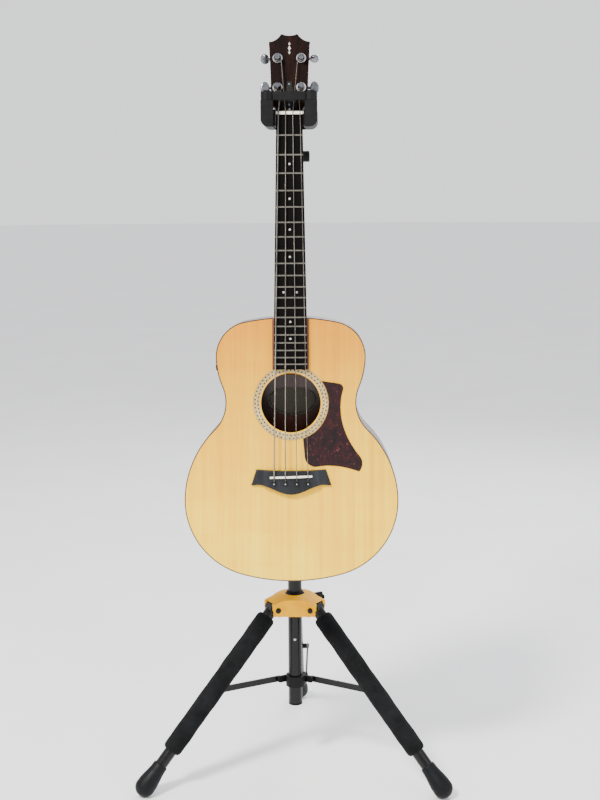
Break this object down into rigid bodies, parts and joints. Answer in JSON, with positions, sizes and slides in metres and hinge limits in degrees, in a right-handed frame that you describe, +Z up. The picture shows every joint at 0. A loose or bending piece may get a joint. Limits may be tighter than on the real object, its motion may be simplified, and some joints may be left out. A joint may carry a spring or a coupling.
{
  "type": "guitar on stand",
  "caption": "Small-bodied acoustic bass guitar hanging by its headstock in the self-locking yoke of a folding tripod guitar stand.",
  "frame": {"origin": "on the floor, below the middle of the box of the whole object", "axes": "+Z up, the guitar faces -Y, +X to the viewer's right"},
  "size_m": [0.562, 0.4978, 1.3094],
  "materials": {
    "spruce_top": "satin lacquer",
    "sapele": "satin lacquer",
    "neck_wood": "satin lacquer",
    "ebony": "satin",
    "inner_wood": "raw",
    "black_binding": "gloss",
    "rosette": "gloss",
    "tortoise": "gloss",
    "bone": "satin",
    "black_plastic": "satin",
    "chrome": "polished",
    "nickel_silver": "polished",
    "string_steel": "wound",
    "steel": "plain",
    "black_paint": "gloss",
    "yellow_plastic": "semi-gloss",
    "foam": "matt foam",
    "rubber": "matt"
  },
  "bodies": {
    "mast_base": {"mast_lower_tube": "black_paint", "mast_end_cap": "black_plastic", "strut_collar": "black_plastic", "clutch_housing": "black_plastic"},
    "hub": {"hub": "yellow_plastic", "hub_pins": "steel", "hub_collar": "black_plastic"},
    "hub_knob": {"hub_knob": "black_plastic"},
    "upper_mast": {"mast_upper_tube": "black_paint", "head_bracket": "black_plastic"},
    "clutch_lever": {"clutch_lever": "black_plastic"},
    "head_knob": {"head_knob": "black_plastic"},
    "yoke": {"yoke_frame": "black_plastic", "yoke_pads": "rubber"},
    "gate_left": {"gate_left": "black_plastic"},
    "gate_right": {"gate_right": "black_plastic"},
    "guitar": {"soundboard": "spruce_top", "rosette": "rosette", "back_plate": "sapele", "body_binding": "black_binding", "body_sides": "sapele", "kerfed_lining": "inner_wood", "end_blocks": "inner_wood", "braces": "inner_wood", "preamp": "black_plastic", "output_jack": "chrome", "pickguard": "tortoise", "bridge": "ebony", "saddle": "bone", "bridge_pins": "ebony", "neck": "neck_wood", "headstock_overlay": "sapele", "truss_rod": "steel", "truss_rod_cover": "black_plastic", "fingerboard": "ebony", "frets": "nickel_silver", "nut": "bone", "tuner_housings": "chrome", "strings": "string_steel"},
    "volume_knob": {"volume_knob": "black_plastic"},
    "leg_left": {"leg_tube_left": "black_paint", "foot_left": "rubber", "foam_grip_left": "foam"},
    "strut_left": {"strut_left": "black_paint"},
    "leg_right": {"leg_tube_right": "black_paint", "foot_right": "rubber", "foam_grip_right": "foam"},
    "strut_right": {"strut_right": "black_paint"},
    "leg_rear": {"leg_tube_rear": "black_paint", "foot_rear": "rubber"},
    "strut_rear": {"strut_rear": "black_paint"},
    "tuner_post_1": {"tuner_post_1": "chrome"},
    "tuner_button_1": {"tuner_button_1": "chrome"},
    "tuner_post_2": {"tuner_post_2": "chrome"},
    "tuner_button_2": {"tuner_button_2": "chrome"},
    "tuner_post_3": {"tuner_post_3": "chrome"},
    "tuner_button_3": {"tuner_button_3": "chrome"},
    "tuner_post_4": {"tuner_post_4": "chrome"},
    "tuner_button_4": {"tuner_button_4": "chrome"}
  },
  "joints": [
    {"name": "tripod_fold", "type": "slide", "parent": "mast_base", "child": "hub", "axis": [0, 0, 1], "range_m": [0, 0.19735]},
    {"name": "leg_left_hinge", "type": "hinge", "parent": "hub", "child": "leg_left", "pos_m": [-0.03897, -0.09512, 0.304], "axis": [0.5, -0.866, 0], "range_deg": [0, 42.01]},
    {"name": "strut_left_hinge", "type": "hinge", "parent": "mast_base", "child": "strut_left", "pos_m": [-0.03073, -0.06738, 0.158], "axis": [-0.5, 0.866, 0], "range_deg": [0, 81.31]},
    {"name": "leg_right_hinge", "type": "hinge", "parent": "hub", "child": "leg_right", "pos_m": [0.03897, -0.09512, 0.304], "axis": [0.5, 0.866, 0], "range_deg": [0, 42.01]},
    {"name": "strut_right_hinge", "type": "hinge", "parent": "mast_base", "child": "strut_right", "pos_m": [0.03073, -0.06738, 0.158], "axis": [-0.5, -0.866, 0], "range_deg": [0, 81.31]},
    {"name": "leg_rear_hinge", "type": "hinge", "parent": "hub", "child": "leg_rear", "pos_m": [0, -0.02762, 0.304], "axis": [-1, 0, 0], "range_deg": [0, 42.01]},
    {"name": "strut_rear_hinge", "type": "hinge", "parent": "mast_base", "child": "strut_rear", "pos_m": [0.0199, -0.04862, 0.158], "axis": [1, 0, 0], "range_deg": [0, 81.31]},
    {"name": "hub_knob_turn", "type": "hinge", "parent": "hub", "child": "hub_knob", "pos_m": [0.03897, -0.05012, 0.307], "axis": [0.866, 0.5, 0], "range_deg": [0, 540]},
    {"name": "mast_height", "type": "slide", "parent": "mast_base", "child": "upper_mast", "axis": [0, 0, 1], "range_m": [-0.15, 0.03]},
    {"name": "clutch_trigger", "type": "hinge", "parent": "mast_base", "child": "clutch_lever", "pos_m": [0, -0.04762, 0.812], "axis": [-1, 0, 0], "range_deg": [0, 18], "stiffness_Nm_per_rad": 0.4, "springref_deg": -17.19},
    {"name": "head_knob_turn", "type": "hinge", "parent": "upper_mast", "child": "head_knob", "pos_m": [0.025, -0.07262, 1.114], "axis": [1, 0, 0], "range_deg": [0, 360]},
    {"name": "yoke_drop", "type": "slide", "parent": "upper_mast", "child": "yoke", "axis": [0, 0, 1], "range_m": [0, 0.01], "stiffness_N_per_m": 350, "springref_m": 0.02},
    {"name": "gate_left_swing", "type": "hinge", "parent": "yoke", "child": "gate_left", "pos_m": [-0.0355, -0.21562, 1.2073], "axis": [0, 0, -1], "range_deg": [0, 75.01]},
    {"name": "gate_right_swing", "type": "hinge", "parent": "yoke", "child": "gate_right", "pos_m": [0.0355, -0.21562, 1.2073], "axis": [0, 0, 1], "range_deg": [0, 75.01]},
    {"name": "guitar_lift", "type": "slide", "parent": "yoke", "child": "guitar", "axis": [0, 0, 1], "range_m": [0, 0.03]},
    {"name": "tuner_button_1_turn", "type": "hinge", "parent": "guitar", "child": "tuner_button_1", "pos_m": [-0.041, -0.16744, 1.22317], "axis": [1, 0, 0], "continuous": true},
    {"name": "tuner_post_1_turn", "type": "hinge", "parent": "guitar", "child": "tuner_post_1", "pos_m": [-0.0194, -0.18731, 1.22177], "axis": [0, -0.9724, 0.2334], "continuous": true},
    {"name": "tuner_button_2_turn", "type": "hinge", "parent": "guitar", "child": "tuner_button_2", "pos_m": [-0.041, -0.156, 1.27081], "axis": [1, 0, 0], "continuous": true},
    {"name": "tuner_post_2_turn", "type": "hinge", "parent": "guitar", "child": "tuner_post_2", "pos_m": [-0.0194, -0.17587, 1.26941], "axis": [0, -0.9724, 0.2334], "continuous": true},
    {"name": "tuner_button_3_turn", "type": "hinge", "parent": "guitar", "child": "tuner_button_3", "pos_m": [0.041, -0.156, 1.27081], "axis": [1, 0, 0], "continuous": true},
    {"name": "tuner_post_3_turn", "type": "hinge", "parent": "guitar", "child": "tuner_post_3", "pos_m": [0.0194, -0.17587, 1.26941], "axis": [0, -0.9724, 0.2334], "continuous": true},
    {"name": "tuner_button_4_turn", "type": "hinge", "parent": "guitar", "child": "tuner_button_4", "pos_m": [0.041, -0.16744, 1.22317], "axis": [1, 0, 0], "continuous": true},
    {"name": "tuner_post_4_turn", "type": "hinge", "parent": "guitar", "child": "tuner_post_4", "pos_m": [0.0194, -0.18731, 1.22177], "axis": [0, -0.9724, 0.2334], "continuous": true},
    {"name": "volume_knob_turn", "type": "hinge", "parent": "guitar", "child": "volume_knob", "pos_m": [-0.12331, -0.17721, 0.75821], "axis": [-0.9862, -0.0101, -0.1653], "range_deg": [0, 270]}
  ],
  "couplings": [
    {"joint": "leg_left_hinge", "follows": "tripod_fold", "rad_per_m": 3.7143},
    {"joint": "strut_left_hinge", "follows": "tripod_fold", "rad_per_m": 7.19},
    {"joint": "leg_right_hinge", "follows": "tripod_fold", "rad_per_m": 3.7143},
    {"joint": "strut_right_hinge", "follows": "tripod_fold", "rad_per_m": 7.19},
    {"joint": "leg_rear_hinge", "follows": "tripod_fold", "rad_per_m": 3.7143},
    {"joint": "strut_rear_hinge", "follows": "tripod_fold", "rad_per_m": 7.19},
    {"joint": "gate_left_swing", "follows": "yoke_drop", "rad_per_m": 130.9},
    {"joint": "gate_right_swing", "follows": "yoke_drop", "rad_per_m": 130.9},
    {"joint": "tuner_post_1_turn", "follows": "tuner_button_1_turn", "ratio": 0.055556},
    {"joint": "tuner_post_2_turn", "follows": "tuner_button_2_turn", "ratio": 0.055556},
    {"joint": "tuner_post_3_turn", "follows": "tuner_button_3_turn", "ratio": 0.055556},
    {"joint": "tuner_post_4_turn", "follows": "tuner_button_4_turn", "ratio": 0.055556}
  ]
}
